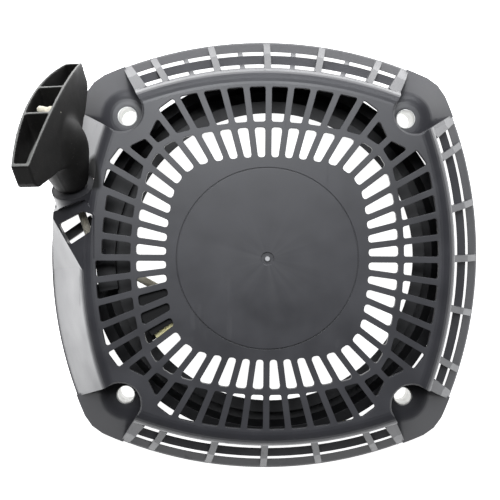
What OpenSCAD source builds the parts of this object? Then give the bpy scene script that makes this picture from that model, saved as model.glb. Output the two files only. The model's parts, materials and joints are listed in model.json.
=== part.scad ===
// Recoil starter for a small four-stroke engine: square shroud with a slotted face, louvred
// sides, a rope reel under the middle disc and a T-grip seated on the left side.
// Origin: where the crank axis meets the mounting plane. +Z points away from the engine.

/* [Mounting] */
// Side of the square that the four mounting bolts make
bolt_square = 140; // [139.5:0.25:140.5]
// Outer radius of the steel mounting sleeves
sleeve_r = 4.9; // [4.7:0.1:5]
// Bore radius of the mounting sleeves
sleeve_bore_r = 4.3; // [4:0.1:4.4]

/* [Housing] */
// Height of the slotted face above the mounting plane
face_z = 52; // [51.5:0.25:52.5]
// Thickness of the slotted face
face_t = 3; // [2.75:0.25:3.25]
// Distance from the axis to the middle of a side of the base rim
rim_a = 110.3; // [110:0.1:110.6]
// How far beyond the axis the bow of each side is centred
bow = 95; // [94:0.5:96]
// Corner radius of the base rim
rim_corner_r = 20; // [18:1:22]
// Thickness of the moulded walls
wall = 2.4; // [2.2:0.1:2.6]
// Radius of the raised middle disc
disc_r = 43.1; // [42:0.1:44]

/* [Grille] */
// Slots in each of the two rings
slot_count = 48; // [48]
// Width of the bars between the slots
bar_w = 3; // [2.8:0.1:3.2]
// Corner radius of the squares that the slots' ends follow
slot_corner_r = 21; // [20:0.5:22]

/* [Reel and rope] */
// Diameter of the rope
rope_d = 4; // [3.8:0.1:4.1]
// Radius of the reel's flanges
reel_r = 46.4; // [45.5:0.1:46.6]
// Radius of the drum that the rope is wound on
drum_r = 33.4; // [33:0.1:33.6]
// Layers of rope on the drum
rope_layers = 2; // [2]

/* [Grip] */
// Length of the T-grip
grip_l = 83; // [80:1:85]
// Width of the T-grip at its middle
grip_w = 14.6; // [13.6:0.2:15.4]
// Elevation of the pull above the mounting plane, in degrees
pull_el = 38; // [37.5:0.25:38.5]
// Azimuth of the pull, in degrees from +X
pull_az = 103.2; // [102.8:0.2:103.6]
// Turn of the grip about the pull direction, in degrees
grip_roll = 161.7; // [155:0.5:168]

/* [Starting dogs] */
// Turn of the guide plate that brings the pawls out, in degrees
plate_turn = 25; // [25]
// Swing of each pawl, in degrees
pawl_swing = 35; // [35]

/* [Hidden] */
$fn = 96;

shroud_black = [0.2, 0.2, 0.21];
inner_black = [0.13, 0.13, 0.14];
grip_black = [0.12, 0.11, 0.11];
steel = [0.72, 0.73, 0.75];
spring_steel = [0.45, 0.47, 0.5];
yellow_zinc = [0.78, 0.7, 0.36];
rope_cream = [0.88, 0.84, 0.72];

// Small overlap that carries a cut or a join past a face
eps = 0.6;
gap = 0.3;
bolt_u = bolt_square / sqrt(2);

// ---- the family of bowed squares that the whole shroud follows ----

// Distance from the axis, at angle th from a side's middle, to the bowed side that stands a away
function bow_rho(a, th) = sqrt(pow(a + bow, 2) - pow(bow * sin(th), 2)) - bow * cos(th);
// The rounded corner's centre is (c, c)
function corner_c(a, rc) =
  (sqrt(4 * bow * bow - 8 * (bow * bow - pow(a + bow - rc, 2))) - 2 * bow) / 4;
function corner_start(a, rc) =
  let (c = corner_c(a, rc), k = (a + bow) / (a + bow - rc)) atan2(k * c, k * (c + bow) - bow);
function fold(th) = th - 90 * round(th / 90);
function rho(a, th, rc) =
  let (t = abs(fold(th)), c = corner_c(a, rc), p = 45 - t)
  t < corner_start(a, rc) ? bow_rho(a, t)
    : c * sqrt(2) * cos(p) + sqrt(rc * rc - 2 * pow(c * sin(p), 2));
function polar(r, th) = r * [cos(th), sin(th)];
function bowed_square(a, rc, step = 3) =
  [for (th = [0 : step : 360 - step]) polar(rho(a, th, rc), th)];

function unit(v) = v / norm(v);
// Rounds every corner of a convex outline with an arc of m steps
function rounded(pts, r, m = 2) = [
  for (i = [0 : len(pts) - 1])
    let (p = pts[i], u = unit(pts[(i + len(pts) - 1) % len(pts)] - p),
      v = unit(pts[(i + 1) % len(pts)] - p), h = acos(u * v) / 2,
      c = p + unit(u + v) * r / sin(h), s = p + u * r / tan(h) - c, e = p + v * r / tan(h) - c)
    for (j = [0 : m]) c + unit(s * (m - j) + e * j) * r
];

// ---- slotted face ----

slot_pitch = 360 / slot_count;
inner_ring = [48.4, 62.7];
outer_ring = [65.3, 82];
// The outer slots beside the rope outlet stop short of it
short_outer_a = 79.2;
short_slots = [157, 180];
// Clear distance that the slots keep from a bolt pocket's centre
pocket_keep = 17.5;

function pocket_limit(th) =
  let (p = 45 - abs(fold(th)), h = bolt_u * sin(p))
  abs(h) < pocket_keep ? bolt_u * cos(p) - sqrt(pocket_keep * pocket_keep - h * h) : 200;
function slot_corner(mid, side, a) =
  let (r0 = min(rho(a, mid, slot_corner_r), pocket_limit(mid)),
    th = mid + side * (slot_pitch / 2 - asin(bar_w / 2 / r0)))
  polar(min(rho(a, th, slot_corner_r), pocket_limit(th)), th);
function slot(mid, ring, r) =
  rounded([slot_corner(mid, -1, ring[0]), slot_corner(mid, -1, ring[1]),
    slot_corner(mid, 1, ring[1]), slot_corner(mid, 1, ring[0])], r);
function outer_end(mid) =
  mid > short_slots[0] && mid < short_slots[1] ? short_outer_a : outer_ring[1];
slots = [
  for (k = [0 : slot_count - 1])
    let (mid = slot_pitch * (k + 0.5))
    each [slot(mid, inner_ring, 1.3), slot(mid, [outer_ring[0], outer_end(mid)], 0.9)]
];
face_edge = bowed_square(83.3, 17);
slot_points = len(slots[0]);
disc_rise = 0.4;
groove_w = 0.5;
groove_depth = 0.5;

module slotted_face() {
  first = len(face_edge);
  paths = concat([[for (i = [0 : first - 1]) i]], [
    for (k = [0 : len(slots) - 1]) [for (i = [0 : slot_points - 1]) first + k * slot_points + i]
  ]);
  translate([0, 0, face_z - face_t])
    linear_extrude(face_t)
      polygon(concat(face_edge, [for (s = slots) each s]), paths);
  // raised disc
  translate([0, 0, face_z - 1])
    cylinder(r = disc_r, h = 1 + disc_rise);
}

// ---- sides ----

// Profiles are [distance a, height z], read along the outside first
shoulder_r = 8;
shoulder_a = 83;
// Arc of the shoulder of radius r, from the face down through the angle turn
function shoulder(r, turn, n = 7) =
  [for (i = [0 : n]) [shoulder_a, face_z - shoulder_r] + polar(r, 90 - turn * i / n)];
function shoulder_back(turn) = let (line = shoulder(shoulder_r - face_t, turn))
  [for (i = [len(line) - 1 : -1 : 0]) line[i]];
skirt_turn = 79;
panel_turn = 66;
lap = 0.6;
skirt = concat([[shoulder_a - lap, face_z]], shoulder(shoulder_r, skirt_turn),
  [[93.75, 30], [91.3, 30]], shoulder_back(skirt_turn), [[shoulder_a - lap, face_z - face_t]]);
louvre = [[96.35, 22.8], [101.2, 19.6], [101.2, 17.4], [96.9, 20.2]];
rim_blade = [[104.6, 8.6], [109.4, 4.2], [rim_a, 3], [rim_a, 0], [107.9, 0], [107.9, 2.2], [105.4, 5.4]];
panel = concat([[shoulder_a - lap, face_z]], shoulder(shoulder_r, panel_turn),
  [[109.4, 3.4], [rim_a, 2.6], [rim_a, 0], [107.7, 0], [107.4, 1.7]],
  shoulder_back(panel_turn), [[shoulder_a - lap, face_z - face_t]]);
// Solids under the outer surface, which trim the pockets' walls
louvred_fill = concat([[60, face_z]], shoulder(shoulder_r, skirt_turn),
  [[93.6, 33.5], [102, 21.2], [109.4, 5], [rim_a, 3], [rim_a, 0], [60, 0]]);
panel_fill = concat([[60, face_z]], shoulder(shoulder_r, panel_turn),
  [[109.4, 3.4], [rim_a, 2.7], [rim_a, 0], [60, 0]]);
top = 1;
left = 2;
side_half_angle = 23;
rib_w = 3.3;
end_rib_w = 4;
post_w = 2.4;

module side_sweep(profile, half_angle) {
  translate([-bow, 0, 0])
    rotate_extrude(angle = 2 * half_angle, start = -half_angle, $fn = 240)
      polygon([for (p = profile) [p[0] + bow, p[1]]]);
}

// Radial plate at angle th of a side, between the outer line and the inner line
module radial_plate(th, w, line) {
  rotate([0, 0, th])
    translate([0, w / 2, 0])
      rotate([90, 0, 0])
        linear_extrude(w)
          polygon([for (p = line) [bow_rho(p[0], th), p[1]]]);
}

rib_line = [[92.6, 36], [101.9, 21.8], [109.5, 5.2], [108.4, 1.2], [105.2, 4.2], [99.4, 14.5],
  [94, 21], [90.8, 34]];
post_line = [[92.4, 34], [93.3, 30.2], [96.7, 22.2], [100.9, 19], [105, 7.8], [103.6, 7],
  [99.4, 16], [95.4, 20], [91.8, 29.6], [91, 34]];

module louvred_side(posts) {
  side_sweep(skirt, side_half_angle);
  side_sweep(louvre, side_half_angle);
  side_sweep(rim_blade, side_half_angle);
  for (th = [-30 : 15 : 30])
    radial_plate(th, rib_w, rib_line);
  for (th = [-36.5, 36.5])
    radial_plate(th, end_rib_w, rib_line);
  if (posts)
    for (th = [-22.5 : 15 : 22.5])
      radial_plate(th, post_w, post_line);
}

module side(k) {
  if (k == left)
    side_sweep(panel, side_half_angle);
  else
    louvred_side(k == top);
}

module side_fill(k) {
  side_sweep(k == left ? panel_fill : louvred_fill, 40);
}

// ---- bolt pockets, each drawn along +X and turned to its diagonal ----

pocket_r = 10;
pocket_flare = 14.7;
pocket_end = 134;
pocket_floor_z = 20;
boss_r = 8.2;
// Angle of the pocket's conical floor, and the radius that leads into it from the flat round the bolt
floor_angle = 42;
floor_bend_r = 12;
chamfer = 0.9;

function pocket_outline(r, end = pocket_end) =
  let (h = r / cos(pocket_flare) + (end - bolt_u) * tan(pocket_flare))
  concat([[end, h]], [for (i = [0 : 12])
    let (a = 90 + pocket_flare + i * (180 - 2 * pocket_flare) / 12)
    [bolt_u, 0] + polar(r, a)], [[end, -h]]);

module pocket_prism(r) {
  linear_extrude(face_z + 2 * eps)
    polygon(pocket_outline(r));
}

module pocket_walls() {
  translate([0, 0, -eps])
    difference() {
      pocket_prism(pocket_r + wall);
      translate([0, 0, -eps])
        linear_extrude(face_z + 4 * eps)
          polygon(pocket_outline(pocket_r, pocket_end + 1));
    }
}

// Floor that is flat round the bolt, then bends down into a cone towards the rim
module pocket_floor() {
  thick = wall + 0.6;
  flat_r = 6;
  bend = [for (i = [0 : 6]) [flat_r, pocket_floor_z - floor_bend_r] +
    polar(floor_bend_r, 90 - floor_angle * i / 6)];
  run = 32;
  foot_z = bend[6][1] - (run - bend[6][0]) * tan(floor_angle);
  top_line = concat([[sleeve_r, pocket_floor_z]], bend, [[run, foot_z]]);
  intersection() {
    translate([bolt_u, 0, 0])
      rotate_extrude()
        polygon(concat(top_line,
          [for (i = [len(top_line) - 1 : -1 : 0]) top_line[i] - [0, thick]]));
    pocket_prism(pocket_r + wall / 2);
    rotate([0, 0, -45])
      linear_extrude(face_z)
        polygon(bowed_square(rim_a - 0.2, rim_corner_r));
  }
}

// Bevel round the top edge of a pocket
module pocket_chamfer() {
  hull() {
    translate([0, 0, face_z - chamfer])
      linear_extrude(0.01)
        polygon(pocket_outline(pocket_r));
    translate([0, 0, face_z + 0.1])
      linear_extrude(0.01)
        polygon(pocket_outline(pocket_r + chamfer + 0.1));
  }
}

// Upright edge of the base rim across the open end of a pocket
module pocket_rim() {
  intersection() {
    rotate([0, 0, -45])
      linear_extrude(5.2)
        difference() {
          polygon(bowed_square(rim_a, rim_corner_r));
          polygon(bowed_square(rim_a - wall, rim_corner_r - wall));
        }
    pocket_prism(pocket_r + wall / 2);
  }
}

module pocket_boss() {
  translate([bolt_u, 0, 0])
    difference() {
      cylinder(r = boss_r, h = pocket_floor_z - 1);
      translate([0, 0, -eps])
        cylinder(r = sleeve_r, h = pocket_floor_z + 2 * eps);
    }
}

// The corner between side k and side k + 1
module corner(k) {
  intersection() {
    rotate([0, 0, 45])
      pocket_walls();
    side_fill(k);
    rotate([0, 0, 90])
      side_fill(k + 1);
  }
  rotate([0, 0, 45]) {
    pocket_floor();
    pocket_rim();
    pocket_boss();
  }
}

// ---- rope outlet on the left side ----

// Middle of the grip's seat, on the pull's axis
seat = [-93.4, 33.8, 47];
pull_dir = [cos(pull_el) * cos(pull_az), cos(pull_el) * sin(pull_az), sin(pull_el)];
function on_pull(q) = seat + q * pull_dir;

module along_pull(q) {
  translate(on_pull(q))
    rotate([0, 90 - pull_el, pull_az])
      children();
}

cup_r = 10.5;
cup_depth = 22;
// The recess for the neck widens from its floor upwards
recess_r = 10.2;
recess_top_r = 14;
recess_h = 10;
ferrule_r = 3.7;
outlet_top = [[-88.3, -6, 50.1], [-103.8, 18.5, 41.2], [-103.6, 21.5, 41.2], [-87, 27.5, 50.3],
  [-82.5, 20, 52], [-82.5, 0, 52]];
// Space above the outlet's sloping top, which the socket doesn't rise into
above_top = [[-84, -6, 51.2], [-103.8, 18.5, 41.3], [-103.6, 21.4, 41.3], [-87, 27.4, 50.4],
  [-84, 20, 51.6], [-84, -6, 70], [-105, 18.5, 64], [-104.8, 21.4, 64], [-87, 27.4, 70]];
outlet_foot = [[-109.2, -8, 3], [-109.7, 8, 3], [-108.8, 24, 3], [-95, 24, 3], [-95, -8, 3]];
hollow_top = [[-86.6, -3.4, 46.6], [-100.8, 17.6, 38.4], [-100.6, 19, 38.4], [-86, 24.2, 45.4],
  [-80, 18, 48.6], [-80, 1, 48.6]];
hollow_foot = [[-106.6, -4.6, 0.5], [-107.2, 8, 0.5], [-106.4, 21, 0.5], [-88, 21, 0.5], [-88, -4.6, 0.5]];
window = [[-100.9, 15.6], [-88.4, 21.9], [-83.3, 20.4], [-84.6, 12.2], [-95.2, 5.6]];

module point_hull(points) {
  hull()
    for (p = points)
      translate(p)
        cube(0.2, center = true);
}

module outlet_solid() {
  point_hull(concat(outlet_top, outlet_foot));
  difference() {
    along_pull(-cup_depth)
      cylinder(r = cup_r, h = cup_depth);
    point_hull(above_top);
  }
}

module outlet_cuts() {
  point_hull(concat(hollow_top, hollow_foot));
  // recess for the grip's neck
  along_pull(-gap)
    cylinder(r1 = recess_r, r2 = recess_top_r, h = recess_h);
  along_pull(-cup_depth - 4)
    cylinder(r = ferrule_r, h = cup_depth + 6);
  // window beside the rope
  linear_extrude(face_z + 1)
    polygon(rounded(window, 1.2));
}

// Bar that crosses under the window, from the left wall
module window_bar() {
  translate([-102.9, 5.1, 8])
    rotate([0, 0, 35])
      cube([20, 4.6, 6]);
}

// ---- inside of the housing ----

post_r = 9;
post_foot_z = 16.2;
well_in_r = 44.2;
well_out_r = 46.6;
well_z = 33.5;
bush_r = 5;
bush_top_z = 44;
under_rib_w = 2.2;
eyelet_ring = 6.6;
eyelet_lip = 4;
bracket_r = 13;

module under_face() {
  under = face_z - face_t;
  // pivot post
  translate([0, 0, post_foot_z])
    cylinder(r = post_r, h = under - post_foot_z + eps);
  // spring well with its retaining bumps
  translate([0, 0, well_z])
    difference() {
      cylinder(r = well_out_r, h = under - well_z + eps);
      translate([0, 0, -eps])
        cylinder(r = well_in_r, h = under - well_z + 3 * eps);
    }
  for (a = [0 : 60 : 300])
    rotate([0, 0, a])
      translate([well_in_r - 1.2, -2, well_z])
        cube([2, 4, 1.4]);
  // ribs under the bars
  for (a = [0 : 45 : 315])
    rotate([0, 0, a])
      translate([well_out_r - eps, -under_rib_w / 2, under - 7])
        cube([a % 90 == 0 ? 38.5 : 40.4, under_rib_w, 7 + eps]);
}

module housing() {
  color(shroud_black)
    difference() {
      union() {
        difference() {
          union() {
            slotted_face();
            for (k = [0 : 3])
              rotate([0, 0, 90 * k])
                side(k);
            under_face();
            outlet_solid();
          }
          for (k = [0 : 3])
            rotate([0, 0, 90 * k + 45])
              translate([0, 0, -eps])
                pocket_prism(pocket_r + wall / 2);
          outlet_cuts();
        }
        for (k = [0 : 3])
          rotate([0, 0, 90 * k])
            corner(k);
        window_bar();
        eyelet_bracket();
      }
      // bore for the pivot's bush
      translate([0, 0, post_foot_z - eps])
        cylinder(r = bush_r, h = bush_top_z - post_foot_z + eps);
      for (k = [0 : 3])
        rotate([0, 0, 90 * k + 45])
          pocket_chamfer();
      // groove round the disc
      translate([0, 0, face_z - groove_depth])
        difference() {
          cylinder(r = disc_r + groove_w, h = 2);
          translate([0, 0, -eps])
            cylinder(r = disc_r, h = 4);
        }
      // moulding dimple in the middle of the disc
      translate([0, 0, face_z - 0.4])
        difference() {
          cylinder(r = 3.1, h = 2);
          translate([0, 0, -eps])
            cylinder(r = 1.5, h = 1.2);
        }
    }
}

// ---- air ring behind the outer slots: a gutter with a flat inner flange ----

// Offset of the ring from the crank axis, away from the rope outlet
ring_offset = 1.7;
air_profile = [[71.6, 27.6], [77.4, 27.6], [78.8, 13], [83.6, 13], [84.6, 29.6], [90, 28.4],
  [90, 27], [85.9, 27.6], [84.9, 11.6], [77.6, 11.6], [76.3, 26.2], [71.6, 26.2]];
tunnel_angles = [149.5, 192];
tunnel_r = [76.2, 85.6];
tunnel_z = [31.3, 32.8];
// The flange is wider beside the rope outlet
wide_flange_angles = [150, 216];
wide_flange_r = 68.9;

// Roof over the gap in the gutter where the rope's eyelet stands
module rope_tunnel() {
  wall_w = 1.4;
  translate([0, 0, tunnel_z[0]])
    linear_extrude(tunnel_z[1] - tunnel_z[0])
      polygon(sector(tunnel_angles, tunnel_r, 12));
  translate([0, 0, 27])
    linear_extrude(tunnel_z[1] - 27)
      polygon(sector(tunnel_angles, [tunnel_r[0], tunnel_r[0] + wall_w], 12));
}

module wide_flange() {
  translate([0, 0, 26.2])
    linear_extrude(1.4)
      polygon(sector(wide_flange_angles, [wide_flange_r, 72.4], 16));
}

module air_ring() {
  color(inner_black)
    difference() {
      union() {
        difference() {
          translate([ring_offset, 0, 0])
            rotate_extrude($fn = 180)
              polygon(air_profile);
          // gap for the rope's eyelet
          translate([-98.3, -14, 5])
            cube([22.5, 42, 30]);
        }
        translate([ring_offset, 0, 0]) {
          rope_tunnel();
          wide_flange();
        }
      }
      // way for the rope under the flange
      translate([-76, -14, 5])
        cube([3.5, 42, 21]);
      for (k = [0 : 3])
        rotate([0, 0, 90 * k + 45])
          translate([0, 0, -eps])
            pocket_prism(pocket_r + wall);
      // clear of the socket
      along_pull(-cup_depth - gap)
        cylinder(r = cup_r + gap, h = cup_depth + 10);
    }
}

module mounting_sleeves() {
  color(steel)
    for (x = [-1, 1], y = [-1, 1])
      translate([x * bolt_square / 2, y * bolt_square / 2, 0])
        difference() {
          cylinder(r = sleeve_r, h = pocket_floor_z + 0.3);
          translate([0, 0, -eps])
            cylinder(r = sleeve_bore_r, h = pocket_floor_z + 3 * eps);
        }
}

// ---- pivot ----

screw_r = 3;
plate_z = [10.2, 11.8];
washer_z = [8.8, 10];

module centre_bush() {
  color(steel)
    translate([0, 0, washer_z[1]])
      difference() {
        cylinder(r = bush_r, h = bush_top_z - washer_z[1]);
        translate([0, 0, -eps])
          cylinder(r = screw_r, h = bush_top_z);
      }
}

module centre_washer() {
  color(steel)
    translate([0, 0, washer_z[0]])
      difference() {
        cylinder(r = 9.5, h = washer_z[1] - washer_z[0]);
        translate([0, 0, -eps])
          cylinder(r = screw_r, h = 4);
      }
}

module centre_screw() {
  color(steel) {
    difference() {
      translate([0, 0, 4.6])
        cylinder(r = 6, h = washer_z[0] - 4.6, $fn = 6);
      translate([0, 0, 4])
        cylinder(r = 3.4, h = 1.4);
    }
    translate([0, 0, washer_z[0] - 1])
      cylinder(r = 8, h = 1);
    translate([0, 0, washer_z[0]])
      cylinder(r = screw_r, h = 30);
  }
}

// ---- springs and rope, as tubes along computed routes ----

function ring_points(p, d, r, n) =
  let (a = unit(cross([0, 0, 1], d)), b = cross(d, a))
  [for (i = [0 : n - 1]) p + r * (cos(360 * i / n) * a + sin(360 * i / n) * b)];

module tube(path, r, n = 10) {
  m = len(path);
  dirs = [for (i = [0 : m - 1]) unit(path[min(i + 1, m - 1)] - path[max(i - 1, 0)])];
  points = [for (i = [0 : m - 1]) each ring_points(path[i], dirs[i], r, n)];
  sides = [for (i = [0 : m - 2], j = [0 : n - 1])
    [i * n + j, i * n + (j + 1) % n, (i + 1) * n + (j + 1) % n, (i + 1) * n + j]];
  ends = [[for (j = [n - 1 : -1 : 0]) j], [for (j = [0 : n - 1]) (m - 1) * n + j]];
  polyhedron(points, concat(sides, ends));
}

spring_z = [37.5, 48];
spring_in_r = 13.9;
spring_out_r = 43.4;
spring_turns = 13;
strip_t = 0.8;

module recoil_spring() {
  steps = 24 * spring_turns;
  pitch = (spring_out_r - strip_t - spring_in_r) / steps;
  inner = [for (i = [0 : steps]) polar(spring_in_r + i * pitch, i * 15)];
  outer = [for (i = [steps : -1 : 0]) polar(spring_in_r + strip_t + i * pitch, i * 15)];
  color(spring_steel)
    translate([0, 0, spring_z[0]])
      linear_extrude(spring_z[1] - spring_z[0])
        polygon(concat(inner, outer));
}

module spring_keeper() {
  color(steel)
    translate([0, 0, well_z + 1.4])
      difference() {
        cylinder(r = well_in_r - 0.1, h = 1);
        translate([0, 0, -eps])
          cylinder(r = 13.4, h = 3);
      }
}

module friction_spring() {
  wire_r = 0.6;
  turns = 2.5;
  z0 = plate_z[1] + gap + wire_r;
  rise = post_foot_z - wire_r - 0.05 - z0;
  color(spring_steel)
    tube([for (i = [0 : 50]) let (a = i * 360 * turns / 50)
      [6.6 * cos(a), 6.6 * sin(a), z0 + rise * i / 50]], wire_r, 8);
}

// ---- reel ----

reel_z = 19;
groove_z = [21, 29.6];
flange_z = 31.6;
collar_r = 12.8;
collar_z = 47;
drum_wall = 3;
web_t = 3;
rope_r = rope_d / 2;
wound_r = drum_r + rope_layers * rope_d + 0.2;
// Radius at which the outer layer's centre line leaves the reel
lead_r = drum_r + rope_layers * rope_d - rope_r + 0.2;
rope_z = (groove_z[0] + groove_z[1]) / 2;
pivot_r = 22;
pin_r = 3;
pawl_z = [13.2, 18.5];
pawl_rest = -100;
pawl_angles = [30, 210];
peg_reach = 9;
peg_r = 1.8;
spring_groove_r = 5.4;
knot_angle = 130;

module reel() {
  color(inner_black)
    difference() {
      union() {
        rotate_extrude()
          polygon([[post_r + 0.06, reel_z], [reel_r, reel_z], [reel_r, groove_z[0] - 0.8],
            [drum_r + 5, groove_z[0]], [drum_r, groove_z[0]], [drum_r, groove_z[1]],
            [drum_r + 5, groove_z[1]], [reel_r, groove_z[1] + 0.8], [reel_r, flange_z],
            [drum_r - drum_wall, flange_z], [drum_r - drum_wall, reel_z + web_t],
            [collar_r + 1.4, reel_z + web_t], [collar_r + 1.4, flange_z], [collar_r, flange_z],
            [collar_r, collar_z], [post_r + 0.06, collar_z]]);
        // spokes in the hollow between hub and drum
        for (a = [0 : 60 : 300])
          rotate([0, 0, a])
            translate([collar_r, -1.2, reel_z + web_t - eps])
              cube([drum_r - drum_wall - collar_r + eps, 2.4, flange_z - reel_z - web_t]);
        // pawl pins
        for (a = pawl_angles)
          rotate([0, 0, a])
            translate([pivot_r, 0, pawl_z[0] - 0.3])
              cylinder(r = pin_r, h = reel_z - pawl_z[0] + eps);
        // posts that the pawl springs push against
        for (a = pawl_angles)
          rotate([0, 0, a])
            translate([pivot_r + 8.6, 4.2, pawl_z[0] + 1])
              cylinder(r = 1.4, h = reel_z - pawl_z[0]);
      }
      // grooves for the pawl springs
      for (a = pawl_angles)
        rotate([0, 0, a])
          translate([pivot_r, 0, reel_z - eps])
            difference() {
              cylinder(r = spring_groove_r, h = 2 + eps);
              translate([0, 0, -eps])
                cylinder(r = pin_r, h = 4);
            }
      // hole for the rope's inner end
      rotate([0, 0, knot_angle])
        translate([drum_r - drum_wall - 1, 0, rope_z])
          rotate([0, 90, 0])
            cylinder(r = rope_r + 0.2, h = drum_wall + 2);
    }
}

module rope_coil() {
  color(rope_cream)
    rotate_extrude()
      polygon([[drum_r, groove_z[0] + 0.3], [wound_r, groove_z[0] + 0.3],
        [wound_r, groove_z[1] - 0.3], [drum_r, groove_z[1] - 0.3]]);
}

module reel_knot() {
  color(rope_cream)
    rotate([0, 0, knot_angle])
      translate([0, 0, rope_z]) {
        translate([drum_r - drum_wall - 3.4, 0, 0])
          sphere(r = 3.4);
        translate([drum_r - drum_wall - 5.6, 2.2, 1.2])
          sphere(r = 2.6);
        translate([drum_r - drum_wall - 2, 0, 0])
          rotate([0, 90, 0])
            cylinder(r = rope_r, h = drum_wall + 2);
      }
}

// ---- pawls and their guide plate ----

pawl_length = 20;
pawl_t = pawl_z[1] - pawl_z[0];

// One pawl, drawn about its pivot with its tip along +X
module pawl_shape() {
  difference() {
    union() {
      cylinder(r = 5.6, h = pawl_t);
      linear_extrude(pawl_t)
        polygon([[-1, -5.4], [8, -4.6], [pawl_length - 3, -3.4], [pawl_length, -1.2],
          [pawl_length - 1.6, 2.4], [9, 4.2], [0, 5.5]]);
      translate([peg_reach, 0, -3.2])
        cylinder(r = peg_r, h = 4);
    }
    translate([0, 0, -eps])
      cylinder(r = pin_r + 0.06, h = pawl_t + 2 * eps);
  }
}

module pawl(a) {
  color(steel)
    rotate([0, 0, a])
      translate([pivot_r, 0, pawl_z[0]])
        rotate([0, 0, pawl_rest])
          pawl_shape();
}

module pawl_a() {
  pawl(pawl_angles[0]);
}

module pawl_b() {
  pawl(pawl_angles[1]);
}

module pawl_springs() {
  wire_r = 0.4;
  color(spring_steel)
    for (a = pawl_angles)
      rotate([0, 0, a])
        translate([pivot_r, 0, reel_z]) {
          tube([for (i = [0 : 36]) let (t = 20 + i * 15)
            [4.4 * cos(t), 4.4 * sin(t), 0.5 + i / 36]], wire_r, 8);
        }
}

// Where pawl and plate stand at part s of their travel, the peg's place as the plate sees it
function peg_path(s, a) =
  let (p = pawl_rest + pawl_swing * s, c = [pivot_r, 0] + polar(peg_reach, p),
    t = a - plate_turn * s)
  [c[0] * cos(t) - c[1] * sin(t), c[0] * sin(t) + c[1] * cos(t)];

module guide_plate() {
  slot_r = peg_r + 0.5;
  color(yellow_zinc)
    difference() {
      translate([0, 0, plate_z[0]])
        cylinder(r = 31, h = plate_z[1] - plate_z[0]);
      translate([0, 0, plate_z[0] - eps])
        cylinder(r = bush_r + 0.06, h = 4);
      for (a = pawl_angles, i = [0 : 8])
        translate(concat(peg_path(i / 8, a), plate_z[0] - eps))
          cylinder(r = slot_r, h = 4);
      // lightening holes
      for (a = pawl_angles, b = [55, 95])
        rotate([0, 0, a + b])
          translate([20, 0, plate_z[0] - eps])
            cylinder(r = 4.4, h = 4);
    }
}

// ---- rope from the reel to the grip ----

// The rope turns here, round the eyelet, from the reel's plane to the pull's direction
turn_at = on_pull(-43);
bend_r = 6.4;
lead_angle = atan2(turn_at[1], turn_at[0]) + acos(lead_r / norm([turn_at[0], turn_at[1]]));
lead_from = concat(polar(lead_r, lead_angle), rope_z);
lead_dir = unit(turn_at - lead_from);
bend_angle = acos(lead_dir * pull_dir);
bend_cut = bend_r * tan(bend_angle / 2);
bend_in = unit(pull_dir - lead_dir * (lead_dir * pull_dir));
bend_centre = turn_at - bend_cut * lead_dir + bend_r * bend_in;
function bend_point(t) = bend_centre + bend_r * (sin(t) * lead_dir - cos(t) * bend_in);
function bend_tangent(t) = cos(t) * lead_dir + sin(t) * bend_in;
eyelet_mid = bend_point(bend_angle / 2);
eyelet_axis = bend_tangent(bend_angle / 2);
eyelet_el = asin(eyelet_axis[2]);
eyelet_az = atan2(eyelet_axis[1], eyelet_axis[0]);
// First point of the lead that is clear of the winding
lead_start = sqrt(pow(wound_r + rope_r + 0.4, 2) - lead_r * lead_r);

module at_eyelet() {
  translate(eyelet_mid)
    rotate([0, 90 - eyelet_el, eyelet_az])
      children();
}

module rope_lead() {
  color(rope_cream)
    tube(concat(
      [for (i = [0 : 6]) lead_from + lead_dir *
        (lead_start + (norm(turn_at - lead_from) - bend_cut - lead_start) * i / 6.2)],
      [for (i = [0 : 8]) bend_point(bend_angle * i / 8)]), rope_r);
}

module rope_eyelet() {
  color(yellow_zinc)
    at_eyelet()
      rotate_extrude()
        translate([eyelet_ring, 0])
          circle(r = eyelet_lip, $fn = 48);
}

// Moulded ring that carries the eyelet, joined to the left side
module eyelet_bracket() {
  difference() {
    union() {
      at_eyelet()
        translate([0, 0, -2.5])
          cylinder(r = bracket_r, h = 5);
      // web to the left wall
      translate([0, -4, 0])
        rotate([90, 0, 0])
          linear_extrude(4)
            polygon([[-98.8, 24], [-105.6, 9], [-88, 9], [-86, 24]]);
    }
    at_eyelet()
      translate([0, 0, -4])
        cylinder(r = eyelet_ring + eyelet_lip - 1, h = 8);
    // keep inside the shroud
    translate([-200, -100, -20])
      cube([400, 200, 20]);
  }
}

module rope_run() {
  color(rope_cream)
    tube([for (i = [0 : 6]) bend_point(bend_angle) +
      (on_pull(-gap) - bend_point(bend_angle)) * i / 6], rope_r);
}

module outlet_ferrule() {
  color(steel)
    along_pull(-cup_depth + 14)
      difference() {
        cylinder(r = ferrule_r, h = cup_depth - 14 - gap - 0.2);
        translate([0, 0, -eps])
          cylinder(r = rope_r + 0.5, h = cup_depth);
      }
}

guard_z = [18.6, 49];
guard_angles = [194.5, 214.2];
guard_r = [47.4, 66.5];

function sector(angles, radii, n = 4) = concat(
  [for (i = [0 : n]) polar(radii[0], angles[0] + (angles[1] - angles[0]) * i / n)],
  [for (i = [n : -1 : 0]) polar(radii[1], angles[0] + (angles[1] - angles[0]) * i / n)]);

module lead_channel(w) {
  translate(lead_from)
    rotate([0, 0, atan2(lead_dir[1], lead_dir[0])])
      translate([0, -w / 2, -w / 2 - 3])
        cube([80, w, w + 4]);
}

module rope_guard() {
  color(inner_black)
    difference() {
      translate([0, 0, guard_z[0]])
        linear_extrude(guard_z[1] - guard_z[0])
          polygon(sector(guard_angles, guard_r));
      lead_channel(6);
    }
}

module wear_plate() {
  color(yellow_zinc)
    difference() {
      translate([0, 0, guard_z[0]])
        rotate([0, 0, guard_angles[1]])
          translate([guard_r[0] + 0.4, 0.05, 0])
            cube([guard_r[1] - guard_r[0] - 1, 0.9, 26]);
      lead_channel(5.4);
    }
}

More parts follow.
